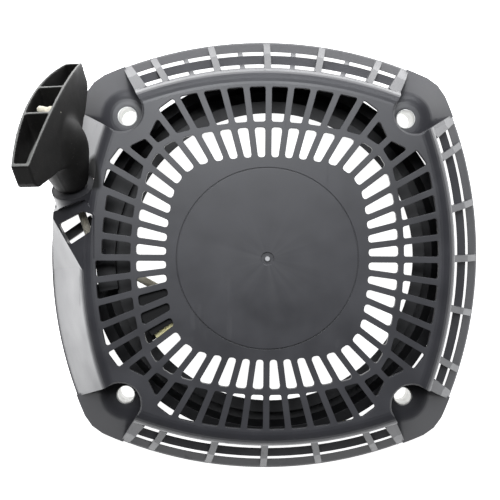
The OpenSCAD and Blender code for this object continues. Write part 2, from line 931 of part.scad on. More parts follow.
// ---- grip, drawn with its neck's foot at the origin and its neck along +Z ----

neck_h = 43;
arch_h = 7.3;
grip_end_w = 8.6;
grip_end_t = 13;
grip_wall = 1.5;
web_x = 10.5;

module at_grip() {
  translate(seat)
    rotate([0, 90 - pull_el, pull_az])
      rotate([0, 0, grip_roll])
        children();
}

function half_width(x, inset = 0) =
  (grip_end_w + (grip_w - grip_end_w) * (1 - pow(2 * x / grip_l, 2))) / 2 - inset;
function arch(x) = neck_h + arch_h * (1 - pow(2 * x / grip_l, 2));

// Plan of the grip between two places along it
function plan(x0, x1, inset = 0) = let (n = 12) concat(
  [for (i = [0 : n]) let (x = x0 + (x1 - x0) * i / n) [x, -half_width(x, inset)]],
  [for (i = [n : -1 : 0]) let (x = x0 + (x1 - x0) * i / n) [x, half_width(x, inset)]]);

module grip_bar() {
  e = grip_l / 2;
  foot = neck_h - grip_end_t;
  intersection() {
    translate([0, 20, 0])
      rotate([90, 0, 0])
        linear_extrude(40)
          polygon(concat([for (i = [-12 : 12]) [e * i / 12, arch(e * i / 12)]],
            [[e, foot + 3.6], [e - 0.8, foot + 1.4], [e - 2.4, foot], [e - 5, foot - 0.8],
            [22, 24.8], [13, 19.5], [-13, 19.5], [-22, 24.8], [-e + 5, foot - 0.8],
            [-e + 2.4, foot], [-e + 0.8, foot + 1.4], [-e, foot + 3.6]]));
    linear_extrude(60)
      polygon(rounded(plan(-e, e), 0.4, 1));
  }
}

module handle() {
  e = grip_l / 2;
  color(grip_black)
    at_grip()
      difference() {
        union() {
          grip_bar();
          rotate_extrude()
            polygon([[0, gap], [5.4, gap], [7.2, 1.2], [8.3, 2.8], [9.3, 6], [11, 12], [12.6, 17],
              [13.7, 22], [13.6, 27], [11.8, 32.5], [8, 38], [0, 40]]);
        }
        // end pockets
        for (s = [-1, 1])
          scale([s, 1, 1])
            translate([0, 0, neck_h - 8.4])
              linear_extrude(30)
                polygon(plan(web_x + 0.75, e - grip_wall - 0.4, grip_wall));
        // middle pocket with the knot's seat
        translate([0, 0, neck_h - 9])
          linear_extrude(30)
            polygon(plan(-web_x + 0.75, web_x - 0.75, grip_wall));
        // rope's bore
        translate([0, 0, -eps])
          cylinder(r = rope_r + 0.3, h = 50);
      }
}

module knot_washer() {
  color(steel)
    at_grip()
      translate([0, 0, neck_h - 9])
        difference() {
          cylinder(r = 5, h = 1);
          translate([0, 0, -eps])
            cylinder(r = rope_r + 0.3, h = 3);
        }
}

module handle_rope() {
  color(rope_cream)
    at_grip()
      translate([0, 0, gap])
        cylinder(r = rope_r, h = neck_h - 9 + 1);
}

module handle_knot() {
  color(rope_cream)
    at_grip()
      translate([0, 0, neck_h - 9 + 1]) {
        translate([0, 0.6, 3.4])
          sphere(r = 3.8);
        translate([2.6, -1.6, 3])
          sphere(r = 2.9);
        translate([-2.4, -2, 3.4])
          sphere(r = 2.6);
      }
}

housing();
air_ring();
mounting_sleeves();
centre_bush();
recoil_spring();
spring_keeper();
reel();
rope_coil();
reel_knot();
pawl_a();
pawl_b();
pawl_springs();
guide_plate();
friction_spring();
centre_washer();
centre_screw();
rope_guard();
wear_plate();
rope_lead();
rope_eyelet();
rope_run();
outlet_ferrule();
handle();
knot_washer();
handle_rope();
handle_knot();
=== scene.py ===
"""Looks of the recoil starter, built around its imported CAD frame. Lengths are in metres."""

import json
import math

import bmesh
import bpy
import numpy as np
from mathutils import Matrix, Vector


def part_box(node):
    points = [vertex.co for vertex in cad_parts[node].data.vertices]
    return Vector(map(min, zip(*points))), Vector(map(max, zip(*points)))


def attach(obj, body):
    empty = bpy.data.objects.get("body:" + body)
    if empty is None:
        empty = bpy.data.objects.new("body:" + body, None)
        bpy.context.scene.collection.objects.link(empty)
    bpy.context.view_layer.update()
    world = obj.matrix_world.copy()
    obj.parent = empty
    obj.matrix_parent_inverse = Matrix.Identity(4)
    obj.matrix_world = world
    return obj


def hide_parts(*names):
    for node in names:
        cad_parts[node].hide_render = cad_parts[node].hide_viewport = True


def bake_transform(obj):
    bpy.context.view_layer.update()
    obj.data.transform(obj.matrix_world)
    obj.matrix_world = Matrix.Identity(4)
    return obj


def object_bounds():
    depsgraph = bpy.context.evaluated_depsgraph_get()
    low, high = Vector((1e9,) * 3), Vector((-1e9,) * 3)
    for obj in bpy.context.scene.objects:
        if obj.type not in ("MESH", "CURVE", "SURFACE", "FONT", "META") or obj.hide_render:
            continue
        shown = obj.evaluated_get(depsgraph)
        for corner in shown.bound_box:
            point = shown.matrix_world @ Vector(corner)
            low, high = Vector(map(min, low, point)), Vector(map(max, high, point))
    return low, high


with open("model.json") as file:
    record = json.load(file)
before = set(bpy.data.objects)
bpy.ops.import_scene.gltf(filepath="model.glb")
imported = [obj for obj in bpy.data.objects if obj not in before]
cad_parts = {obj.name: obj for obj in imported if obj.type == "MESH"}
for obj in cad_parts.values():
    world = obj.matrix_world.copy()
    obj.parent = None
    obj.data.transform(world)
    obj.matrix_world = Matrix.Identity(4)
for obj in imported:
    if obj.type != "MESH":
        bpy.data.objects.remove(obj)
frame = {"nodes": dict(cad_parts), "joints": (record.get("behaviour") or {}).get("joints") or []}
cad_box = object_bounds()
MM = 0.001


# ---- measures taken from the frame ----

def middle(node):
    low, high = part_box(node)
    return (low + high) / 2


def reach(node):
    """Radius of a node that is round about the crank axis."""
    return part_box(node)[1].x


def unit(v):
    return v / np.linalg.norm(v)


joints = {joint["name"]: joint for joint in frame["joints"]}
PULL = np.array(Vector(joints["grip_pull"]["axis"]).normalized())
# Where the foot of the grip's neck rests, and the grip's turn about the pull's axis
SEAT = np.array((-93.4, 33.8, 47.0)) * MM
GRIP_ROLL = math.radians(161.7)
ROPE_R = 2.0 * MM
ROPE_SIDES = 28
ROPE_STEP = 0.42 * MM
BRAID_STRANDS = 7
BRAID_PITCH = 2.3 * MM
BRAID_HEIGHT = 0.26 * MM


def on_pull(q):
    """Point on the pull's axis, q metres above the grip's seat."""
    return SEAT + q * PULL


# ---- the scene's own meshes ----

def add_mesh(name, points, faces, smooth=True):
    mesh = bpy.data.meshes.new(name)
    mesh.from_pydata([tuple(point) for point in points], [], [tuple(face) for face in faces])
    mesh.polygons.foreach_set("use_smooth", [smooth] * len(mesh.polygons))
    mesh.update()
    piece = bpy.data.objects.new(name, mesh)
    bpy.context.scene.collection.objects.link(piece)
    return piece


def run_of(path):
    """Length along a path at each of its points."""
    return np.concatenate([[0], np.cumsum(np.linalg.norm(np.diff(path, axis=0), axis=1))])


def rounded_path(points, per_span):
    """Catmull-Rom curve through given points."""
    points = np.array(points, float)
    padded = np.vstack([2 * points[0] - points[1], points, 2 * points[-1] - points[-2]])
    curve = []
    for i in range(len(points) - 1):
        a, b, c, d = padded[i:i + 4]
        for t in np.arange(per_span) / per_span:
            curve.append(0.5 * (2 * b + (c - a) * t + (2 * a - 5 * b + 4 * c - d) * t ** 2
                                + (3 * b - a - 3 * c + d) * t ** 3))
    curve.append(points[-1])
    return np.array(curve)


def sweep(name, path, radius, step, sides, relief=None, taper=0.0):
    """Tube along a path. relief(turn, run) adds height to its surface; taper closes its last part."""
    path = np.array(path, float)
    runs = run_of(path)
    count = max(3, int(round(runs[-1] / step)) + 1)
    at = np.linspace(0, runs[-1], count)
    centre = np.stack([np.interp(at, runs, path[:, k]) for k in range(3)], axis=1)
    along = np.gradient(centre, axis=0)
    along /= np.linalg.norm(along, axis=1)[:, None]
    side = np.cross(along[0], (0, 0, 1.0))
    if np.linalg.norm(side) < 0.1:
        side = np.cross(along[0], (1.0, 0, 0))
    turns = np.arange(sides) * 2 * math.pi / sides
    points = []
    for i in range(count):
        side = side - along[i] * (side @ along[i])
        side /= np.linalg.norm(side)
        up = np.cross(along[i], side)
        reach_here = np.full(sides, radius)
        if relief is not None:
            reach_here = reach_here + relief(turns, at[i])
        left = at[-1] - at[i]
        if left < taper:
            reach_here = reach_here * math.sqrt(max(0.02, 1 - (1 - left / taper) ** 2))
        points.extend(centre[i] + reach_here[:, None] * (np.cos(turns)[:, None] * side
                                                          + np.sin(turns)[:, None] * up))
    faces = [(i * sides + k, i * sides + (k + 1) % sides,
              (i + 1) * sides + (k + 1) % sides, (i + 1) * sides + k)
             for i in range(count - 1) for k in range(sides)]
    faces.append(tuple(range(sides))[::-1])
    faces.append(tuple(range((count - 1) * sides, count * sides)))
    return add_mesh(name, points, faces)


def braid(turn, run):
    """Height of a round braid's surface: two families of strands that pass over and under."""
    a = turn * BRAID_STRANDS / (2 * math.pi) + run / BRAID_PITCH
    b = turn * BRAID_STRANDS / (2 * math.pi) - run / BRAID_PITCH
    first_on_top = (np.floor(a) + np.floor(b)) % 2 == 0
    across = np.where(first_on_top, a - np.floor(a), b - np.floor(b))
    lengthwise = np.where(first_on_top, b - np.floor(b), a - np.floor(a))
    crown = np.sqrt(np.clip(1 - (2 * across - 1) ** 2, 0, 1))
    return BRAID_HEIGHT * (crown * (0.6 + 0.4 * np.sin(math.pi * lengthwise)) - 1)


def lathe(name, profile, place, segments=96):
    """Turned solid from a closed outline of (radius, height) about a vertical axis."""
    place = np.array(place)
    turns = np.arange(segments) * 2 * math.pi / segments
    points = [place + (r * math.cos(t), r * math.sin(t), z) for t in turns for r, z in profile]
    n = len(profile)
    faces = [(i * n + k, ((i + 1) % segments) * n + k,
              ((i + 1) % segments) * n + (k + 1) % n, i * n + (k + 1) % n)
             for i in range(segments) for k in range(n)]
    return add_mesh(name, points, faces, smooth=False)


def shade_by_angle(piece, degrees=35):
    """Smooth shading that keeps edges sharper than the angle."""
    data = piece.data
    data.polygons.foreach_set("use_smooth", [True] * len(data.polygons))
    build = bmesh.new()
    build.from_mesh(data)
    for edge in build.edges:
        edge.smooth = len(edge.link_faces) == 2 and edge.calc_face_angle(0) < math.radians(degrees)
    build.to_mesh(data)
    build.free()


def soften(piece, width):
    """Small rounded edges, as a modifier."""
    bevel = piece.modifiers.new("soft_edges", "BEVEL")
    bevel.width = width
    bevel.segments = 2
    bevel.limit_method = "ANGLE"
    bevel.angle_limit = math.radians(32)
    bevel.harden_normals = False


# ---- node helpers for the materials ----

class Shader:
    """A material with a Principled shader and short calls to add nodes to it."""

    def __init__(self, name, colour, rough, metallic=0.0, **constants):
        self.material = bpy.data.materials.new(name)
        self.material.use_nodes = True
        self.tree = self.material.node_tree
        self.surface = self.tree.nodes["Principled BSDF"]
        self.surface.inputs["Base Color"].default_value = (*colour, 1)
        self.surface.inputs["Roughness"].default_value = rough
        self.surface.inputs["Metallic"].default_value = metallic
        for socket, value in constants.items():
            self.surface.inputs[socket.replace("_", " ")].default_value = value
        self.place = self.node("ShaderNodeTexCoord").outputs["Object"]

    def node(self, kind, inputs=(), **settings):
        made = self.tree.nodes.new(kind)
        for name, value in settings.items():
            setattr(made, name, value)
        for name, value in dict(inputs).items():
            if isinstance(value, bpy.types.NodeSocket):
                self.tree.links.new(value, made.inputs[name])
            else:
                made.inputs[name].default_value = value
        return made

    def math(self, operation, a, b=0.0):
        return self.node("ShaderNodeMath", {0: a, 1: b}, operation=operation).outputs[0]

    def vector(self, operation, a, b=None, output="Vector"):
        """Vector operation; output is "Value" where it gives a number."""
        inputs = {0: a} if b is None else {0: a, 1: b}
        return self.node("ShaderNodeVectorMath", inputs, operation=operation).outputs[output]

    def noise(self, scale, detail=4.0, rough=0.55, stretch=None):
        place = self.place
        if stretch is not None:
            place = self.node("ShaderNodeMapping", {"Vector": place, "Scale": stretch}).outputs[0]
        made = self.node("ShaderNodeTexNoise",
                         {"Vector": place, "Scale": scale, "Detail": detail, "Roughness": rough})
        return made.outputs["Fac"]

    def band(self, value, low, high, out_low=0.0, out_high=1.0):
        """Runs from out_low to out_high as the value goes from low to high, and stays there beyond."""
        made = self.node("ShaderNodeMapRange", {
            "Value": value, "From Min": low, "From Max": high,
            "To Min": out_low, "To Max": out_high})
        return made.outputs["Result"]

    def blend(self, factor, a, b):
        """Mix of two colours. The mix node's colour sockets are 6 and 7, and its colour result is 2."""
        made = self.node("ShaderNodeMix", data_type="RGBA")
        for index, value in ((0, factor), (6, a), (7, b)):
            if isinstance(value, bpy.types.NodeSocket):
                self.tree.links.new(value, made.inputs[index])
            elif index == 0:
                made.inputs[index].default_value = value
            else:
                made.inputs[index].default_value = (*value, 1)
        return made.outputs[2]

    def edge_normal(self, radius):
        return self.node("ShaderNodeBevel", {"Radius": radius}, samples=4).outputs["Normal"]

    def edge_mask(self, rounded):
        """1 where the rounded normal leaves the flat one, which is along the edges."""
        flat = self.node("ShaderNodeNewGeometry").outputs["Normal"]
        dot = self.vector("DOT_PRODUCT", rounded, flat, "Value")
        return self.band(dot, 0.995, 0.8)

    def bump(self, height, distance, strength=1.0, normal=None):
        inputs = {"Height": height, "Distance": distance, "Strength": strength}
        if normal is not None:
            inputs["Normal"] = normal
        return self.node("ShaderNodeBump", inputs).outputs["Normal"]

    def set(self, socket, value):
        self.tree.links.new(value, self.surface.inputs[socket])


def gate_marks_and_glint(s, colour):
    """Flow marks that fan out from the crank axis, with a painted highlight on the sprue's stub at their
    middle.
    """
    flat = s.vector("MULTIPLY", s.place, (1, 1, 0))
    out = s.vector("LENGTH", flat, output="Value")
    way = s.vector("NORMALIZE", flat)
    fan = s.node("ShaderNodeTexNoise", {"Vector": way, "Scale": 2.2, "Detail": 4.0}).outputs["Fac"]
    fanned = s.math("MULTIPLY", s.band(fan, 0.42, 0.62), s.band(out, 34 * MM, 4 * MM))
    colour = s.blend(s.math("MULTIPLY", fanned, 0.5), colour, (0.075, 0.075, 0.08))
    height = s.node("ShaderNodeSeparateXYZ", {0: s.place}).outputs["Z"]
    # painted highlight: the sprue's stub on the top face is painted light grey
    stub = s.math("MULTIPLY", s.band(out, 1.25 * MM, 0.95 * MM), s.band(height, 50 * MM, 51 * MM))
    return s.blend(stub, colour, (0.55, 0.55, 0.56))


def seat_shade(s, blotches):
    """Mask of the painted shade round the grip's seat, where the neck shadows the housing."""
    away = s.vector("SUBTRACT", s.place, tuple(SEAT))
    off_axis = s.vector("CROSS_PRODUCT", away, tuple(PULL))
    seat_r = s.vector("LENGTH", off_axis, output="Value")
    along = s.vector("DOT_PRODUCT", away, tuple(PULL), "Value")
    ring = s.math("MULTIPLY", s.band(seat_r, 15.5 * MM, 13.5 * MM), s.band(along, -1 * MM, 0.5 * MM))
    return s.math("MULTIPLY", ring, s.band(blotches, 0.25, 0.5, 0.75, 1.0))


def moulded_plastic(name, dark, light, rough, scuffs=0.5, gate=False):
    """Black moulded plastic: fine grain, flow marks, rubbed edges and a few scuffs. With a gate, it
    also has the gate's flow marks, a painted highlight on the sprue's stub and painted shade round the
    grip's seat."""
    s = Shader(name, dark, rough, IOR=1.5)
    rounded = s.edge_normal(0.35 * MM)
    flow = s.noise(18, 3)
    blotches = s.noise(70, 5)
    fine = s.noise(2600, 2)
    scratches = s.noise(240, 2, stretch=(1, 0.06, 0.3))
    marks = s.math("MULTIPLY", s.band(scratches, 0.64, 0.7), s.band(blotches, 0.5, 0.62))
    tone = s.math("ADD", s.math("MULTIPLY", flow, 0.6), s.math("MULTIPLY", blotches, 0.4))
    colour = s.blend(s.band(tone, 0.35, 0.65), dark, light)
    colour = s.blend(s.math("MULTIPLY", marks, scuffs * 0.12), colour, (0.2, 0.2, 0.2))
    worn = s.math("MULTIPLY", s.edge_mask(rounded), s.band(blotches, 0.3, 0.6, 0.1, 0.4))
    colour = s.blend(worn, colour, (0.16, 0.16, 0.165))
    gloss = s.math("ADD", s.band(tone, 0.3, 0.7, rough - 0.06, rough + 0.07),
                   s.math("MULTIPLY", marks, 0.12))
    if gate:
        # painted shade round the grip's seat, where the neck shadows the housing: the colour there is
        # blended to near black
        grime_and_shade = seat_shade(s, blotches)
        colour = s.blend(grime_and_shade, gate_marks_and_glint(s, colour), (0.012, 0.012, 0.012))
        gloss = s.math("ADD", gloss, s.math("MULTIPLY", grime_and_shade, 0.5))
    s.set("Base Color", colour)
    s.set("Roughness", gloss)
    grained = s.bump(fine, 0.012 * MM, 1.0, rounded)
    s.set("Normal", s.bump(flow, 0.25 * MM, 0.3, grained))
    return s.material


def plated_steel(name, bright, dull, rough):
    """Plated or ground steel: cloudy plating, fine pits and faint tool marks."""
    s = Shader(name, bright, rough, metallic=1.0)
    rounded = s.edge_normal(0.15 * MM)
    clouds = s.noise(160, 6, 0.6)
    pits = s.noise(1500, 3)
    lines = s.noise(900, 2, stretch=(1, 1, 0.08))
    s.set("Base Color", s.blend(s.band(clouds, 0.35, 0.68), bright, dull))
    s.set("Roughness", s.math("ADD", s.band(clouds, 0.3, 0.7, rough - 0.06, rough + 0.1),
                              s.math("MULTIPLY", lines, 0.08)))
    s.set("Normal", s.bump(pits, 0.01 * MM, 0.7, s.bump(lines, 0.008 * MM, 0.6, rounded)))
    return s.material


def rope_fibre(name, light, dark):
    """Worn polyester cord: yarn lines, fuzz and grime in the hollows."""
    s = Shader(name, light, 0.85, Sheen_Weight=0.35, Sheen_Roughness=0.6)
    grime_and_shade = s.noise(220, 5)
    yarn = s.noise(2400, 3, stretch=(1, 1, 0.35))
    tone = s.math("ADD", s.math("MULTIPLY", grime_and_shade, 0.7), s.math("MULTIPLY", yarn, 0.3))
    s.set("Base Color", s.blend(s.band(tone, 0.36, 0.62), light, dark))
    s.set("Normal", s.bump(yarn, 0.08 * MM, 0.8))
    return s.material


def highlit_dusty_grip(name):
    """Grip plastic with a painted highlight, light grey, on the faces that face along the pull, and dust
    in its grain.
    """
    s = Shader(name, (0.014, 0.013, 0.012), 0.5, IOR=1.33)
    rounded = s.edge_normal(0.3 * MM)
    normal = s.node("ShaderNodeNewGeometry").outputs["Normal"]
    facing = s.vector("DOT_PRODUCT", normal, tuple(PULL), "Value")
    clouds = s.noise(150, 5)
    fine = s.noise(2200, 2)
    # painted highlight: the faces that face along the pull are painted light grey
    top_highlight = s.math("MULTIPLY", s.band(facing, 0.72, 0.9), s.band(clouds, 0.25, 0.6, 0.7, 1.0))
    dusty = s.band(clouds, 0.45, 0.75, 0.0, 0.35)
    colour = s.blend(dusty, (0.009, 0.0085, 0.008), (0.024, 0.023, 0.021))
    colour = s.blend(top_highlight, colour, (0.2, 0.2, 0.19))
    lint = s.math("MULTIPLY", s.band(s.noise(1300, 3), 0.63, 0.7), s.band(clouds, 0.4, 0.6, 0.1, 0.8))
    colour = s.blend(s.math("MULTIPLY", lint, 0.5), colour, (0.12, 0.115, 0.105))
    s.set("Base Color", colour)
    s.set("Roughness", s.band(clouds, 0.3, 0.7, 0.5, 0.68))
    s.set("Normal", s.bump(fine, 0.014 * MM, 1.0, rounded))
    return s.material


def rope_under_load(name, light, dark):
    """The cord where it stretches out of the housing: the braid is drawn along the pull's axis."""
    s = Shader(name, light, 0.85, Sheen_Weight=0.35, Sheen_Roughness=0.6)
    away = s.vector("SUBTRACT", s.place, tuple(SEAT))
    level = unit(np.cross(PULL, (0, 0, 1)))
    upright = np.cross(level, PULL)

    def along(axis):
        return s.vector("DOT_PRODUCT", away, tuple(axis), "Value")

    turn = s.math("MULTIPLY", s.math("ARCTAN2", along(level), along(upright)),
                  BRAID_STRANDS / (2 * math.pi))
    run = s.math("MULTIPLY", along(PULL), 1 / BRAID_PITCH)
    ridges = [s.math("ABSOLUTE", s.math("SINE", s.math("MULTIPLY", s.math(way, turn, run), math.pi)))
              for way in ("ADD", "SUBTRACT")]
    weave = s.math("MINIMUM", *ridges)
    grime_and_shade = s.noise(220, 5)
    colour = s.blend(s.band(grime_and_shade, 0.36, 0.62), light, dark)
    # painted shade: the grooves between the strands are painted darker
    s.set("Base Color", s.blend(s.band(weave, 0.0, 0.35, 0.5, 0.0), colour, (0.2, 0.17, 0.12)))
    s.set("Normal", s.bump(s.math("POWER", weave, 0.5), 0.3 * MM, 1.0))
    return s.material


# The frame's own materials are renamed, so that the new ones can have the slots' names
IMPORTED = {}
for imported in bpy.data.materials:
    slot_name = imported.name
    imported.name = "cad_" + slot_name
    IMPORTED[imported.name] = slot_name

CORD_COLOURS = ((0.86, 0.81, 0.67), (0.60, 0.55, 0.42))
MATERIALS = {
    "shroud_plastic": moulded_plastic("shroud_plastic", (0.036, 0.036, 0.041), (0.050, 0.050, 0.057),
                                      0.36, scuffs=0.2, gate=True),
    "inner_plastic": moulded_plastic("inner_plastic", (0.012, 0.012, 0.013), (0.018, 0.018, 0.02), 0.5),
    # painted shade: the block under the inner slots gets a near-black colour
    "guard_plastic": moulded_plastic("guard_plastic", (0.003, 0.003, 0.0034), (0.006, 0.006, 0.0066),
                                     0.8),
    "grip_plastic": highlit_dusty_grip("grip_plastic"),
    "zinc_steel": plated_steel("zinc_steel", (0.78, 0.78, 0.76), (0.6, 0.6, 0.58), 0.32),
    "hard_steel": plated_steel("hard_steel", (0.5, 0.5, 0.51), (0.36, 0.36, 0.37), 0.36),
    "spring_steel": plated_steel("spring_steel", (0.34, 0.36, 0.4), (0.22, 0.22, 0.24), 0.3),
    "yellow_zinc": plated_steel("yellow_zinc", (0.74, 0.68, 0.34), (0.58, 0.56, 0.36), 0.34),
    "rope": rope_fibre("rope", *CORD_COLOURS),
    "rope_run": rope_under_load("rope_run", *CORD_COLOURS),
}


def finish_as(piece, slot_name):
    """Gives a piece the material of one of the record's slots."""
    piece.data.materials.clear()
    piece.data.materials.append(MATERIALS[slot_name])


# ---- CAD nodes keep their shape and get their finish ----

def finish_cad_nodes():
    for node in frame["nodes"].values():
        for place in node.material_slots:
            place.material = MATERIALS[IMPORTED[place.material.name]]
    for name in ("pawl_a", "pawl_b", "guide_plate"):
        soften(frame["nodes"][name], 0.35 * MM)
    for name in ("centre_washer", "centre_bush", "knot_washer"):
        soften(frame["nodes"][name], 0.2 * MM)
    # the block under the inner slots is a dull black, painted much darker than the other plastics:
    # painted shade under the slots
    frame["nodes"]["rope_guard"].material_slots[0].material = MATERIALS["guard_plastic"]


# ---- mounting hardware ----

SLEEVE_RADII = (4.3 * MM, 4.9 * MM)  # bore and outside


def make_sleeves():
    """The four steel sleeves, with chamfered ends."""
    low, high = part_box("mounting_sleeves")
    bore, outer = SLEEVE_RADII
    lip = 0.2 * MM
    profile = [(bore, lip), (bore + lip, 0), (outer - lip, 0), (outer, lip),
               (outer, high.z - lip), (outer - lip, high.z), (bore + lip, high.z), (bore, high.z - lip)]
    reach_out = high.x - outer
    pieces = []
    for number, (sx, sy) in enumerate(((1, 1), (-1, 1), (-1, -1), (1, -1)), 1):
        sleeve = lathe(f"mounting_sleeve_{number}", profile, (sx * reach_out, sy * reach_out, low.z))
        shade_by_angle(sleeve)
        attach(sleeve, "shroud")
        finish_as(sleeve, "zinc_steel")
        pieces.append(sleeve)
    for sleeve in pieces:
        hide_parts("mounting_sleeves")


# Angle of the guard's edge that carries the strip, and how far the strip's top is folded out
GUARD_EDGE = math.radians(214.2)
STRIP_LIP = 2.8 * MM


def make_wear_strip():
    """The zinc-plated strip on the guard's edge, with its top folded out to a lip."""
    node = frame["nodes"]["wear_plate"]
    turn = Matrix.Rotation(GUARD_EDGE, 3, "Z")
    local = np.array([turn.transposed() @ (node.matrix_world @ corner.co)
                      for corner in node.data.vertices])
    (x0, y0, z0), (x1, y1, z1) = local.min(axis=0), local.max(axis=0)
    thick = y1 - y0
    section = [(y0, z0), (y1, z0), (y1, z1 - thick), (y0 + STRIP_LIP, z1 - thick),
               (y0 + STRIP_LIP, z1), (y0, z1)]
    points = [turn @ Vector((x, y, z)) for x in (x0, x1) for y, z in section]
    n = len(section)
    faces = [list(range(n - 1, -1, -1)), list(range(n, 2 * n))]
    faces += [(i, (i + 1) % n, n + (i + 1) % n, n + i) for i in range(n)]
    strip = add_mesh("wear_strip", points, faces, smooth=False)
    soften(strip, 0.2 * MM)
    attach(strip, "shroud")
    finish_as(strip, "yellow_zinc")
    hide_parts("wear_plate")


def hex_ring(flat, z):
    """Points round a hexagon, with a point at each corner and at the middle of each flat."""
    ring = []
    for i in range(12):
        turn = math.radians(30 * i)
        fold = (turn + math.pi / 6) % (math.pi / 3) - math.pi / 6
        r = flat / math.cos(fold)
        ring.append((r * math.cos(turn), r * math.sin(turn), z))
    return ring


def loft(name, rings):
    """Closed solid through rings that have the same number of points."""
    n = len(rings[0])
    points = [point for ring in rings for point in ring]
    faces = [(i * n + k, i * n + (k + 1) % n, (i + 1) * n + (k + 1) % n, (i + 1) * n + k)
             for i in range(len(rings) - 1) for k in range(n)]
    faces.append(tuple(range(n))[::-1])
    faces.append(tuple(range((len(rings) - 1) * n, len(rings) * n)))
    piece = add_mesh(name, points, faces)
    shade_by_angle(piece, 25)
    return piece


def circle(radius, z, segments=48):
    turns = [2 * math.pi * i / segments for i in range(segments)]
    return [(radius * math.cos(turn), radius * math.sin(turn), z) for turn in turns]


def screw_thread(low_z, high_z):
    """Rolled thread, as one strip that winds round the shank: each turn is a ridge between two roots."""
    crest_r = 2.95 * MM
    pitch = 1.0 * MM
    depth = 0.32 * MM
    per_turn = 28
    count = int((high_z - low_z) / pitch * per_turn)
    rows = 7
    points = []
    for i in range(count):
        turn = 2 * math.pi * i / per_turn
        base = low_z + pitch * i / per_turn
        for k in range(rows):
            share = k / (rows - 1)
            r = crest_r - depth * abs(2 * share - 1)
            z = min(base + pitch * share, high_z - 0.05 * MM)
            points.append((r * math.cos(turn), r * math.sin(turn), z))
    faces = [(i * rows + k, (i + 1) * rows + k, (i + 1) * rows + k + 1, i * rows + k + 1)
             for i in range(count - 1) for k in range(rows - 1)]
    return add_mesh("screw_thread", points, faces)


def make_centre_screw():
    """Flanged hexagon screw: chamfered head, dished flange and a rolled thread."""
    low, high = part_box("centre_screw")
    flat = 5.2 * MM
    flange_r = reach("centre_screw")
    head_top = low.z
    flange_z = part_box("centre_washer")[0].z
    head = loft("screw_head", [
        [(x * 0.86, y * 0.86, z) for x, y, z in hex_ring(flat, head_top)],
        hex_ring(flat, head_top + 0.5 * MM),
        hex_ring(flat, flange_z - 1.5 * MM),
    ])
    axis_r = 0.0001
    dish_z = (head_top + 0.01 * MM, head_top + 0.3 * MM)
    head_dish = lathe("screw_head_mark", [(axis_r, dish_z[0]), (3.4 * MM, dish_z[0]),
                                          (3.6 * MM, dish_z[1]), (axis_r, dish_z[1])],
                      (0, 0, 0), 48)
    shade_by_angle(head_dish)
    # each ring of the flange, by how far it lies inside the rim and below the washer
    flange = loft("screw_flange", [
        circle(flange_r - inside * MM, flange_z - below * MM)
        for inside, below in ((1.6, 1.6), (0.5, 1.0), (0.05, 0.6), (0.05, 0.15), (0.3, 0.01))])
    thread = screw_thread(flange_z, high.z)
    for piece in (head, head_dish, flange, thread):
        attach(piece, "shroud")
        finish_as(piece, "zinc_steel")
        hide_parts("centre_screw")


# ---- springs ----

def share_of(value, low, high):
    """0 up to low, 1 from high on, and straight in between."""
    return min(max((value - low) / (high - low), 0), 1)


def helix(centre, ring, start, sweep_angle, low_z, high_z, count, tail=0.0):
    """Points along a coil spring. tail is the share of it that lies flat at each end."""
    path = []
    for i in range(count + 1):
        t = i / count
        turn = start + sweep_angle * t
        path.append((centre[0] + ring * math.cos(turn), centre[1] + ring * math.sin(turn),
                     low_z + (high_z - low_z) * share_of(t, tail, 1 - tail)))
    return path


def make_friction_spring():
    """The coil spring that drags the guide plate, in round wire."""
    low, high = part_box("friction_spring")
    wire = 0.6 * MM
    ring = (high.x - low.x) / 2 - wire
    path = helix((0, 0), ring, 0, 2 * math.pi * 2.5, low.z + wire, high.z - wire, 180, tail=0.06)
    spring = sweep("friction_spring_wire", path, wire * 0.98, 0.5 * MM, 14)
    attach(spring, "shroud")
    finish_as(spring, "spring_steel")
    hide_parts("friction_spring")


def make_pawl_springs():
    """The round-wire spring about each pawl's pivot. Both ride on the reel and don't follow the pawls."""
    low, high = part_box("pawl_springs")
    wire = 0.4 * MM
    for name in ("pawl_a", "pawl_b"):
        pivot = Vector(joints[name + "_swing"]["pos_m"])
        start = math.radians(20) + math.atan2(pivot.y, pivot.x)
        path = helix(pivot, 4.4 * MM, start, math.radians(540), low.z + wire, high.z - wire, 108)
        spring = sweep(name + "_spring", path, wire, 0.35 * MM, 12)
        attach(spring, "reel")
        finish_as(spring, "spring_steel")
        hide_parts("pawl_springs")


# ---- rope ----

# The lead runs straight from the coil's outer layer to the eyelet, where a bend turns it onto the pull
LEAD_R = reach("rope_coil") - ROPE_R - 0.2 * MM
ROPE_Z = middle("rope_coil").z
COIL_START = math.radians(130)
TURN_AT = on_pull(-43 * MM)
BEND_R = 6.4 * MM
LEAD_ANGLE = (math.atan2(TURN_AT[1], TURN_AT[0])
              + math.acos(LEAD_R / math.hypot(TURN_AT[0], TURN_AT[1])))
LEAD_FROM = np.array((LEAD_R * math.cos(LEAD_ANGLE), LEAD_R * math.sin(LEAD_ANGLE), ROPE_Z))
LEAD_DIR = unit(TURN_AT - LEAD_FROM)
BEND_ANGLE = math.acos(LEAD_DIR @ PULL)
BEND_CUT = BEND_R * math.tan(BEND_ANGLE / 2)
BEND_IN = unit(PULL - LEAD_DIR * (LEAD_DIR @ PULL))
BEND_CENTRE = TURN_AT - BEND_CUT * LEAD_DIR + BEND_R * BEND_IN


def bend_point(angle):
    """Point on the bend, by the angle that the rope has turned by there."""
    return BEND_CENTRE + BEND_R * (math.sin(angle) * LEAD_DIR - math.cos(angle) * BEND_IN)


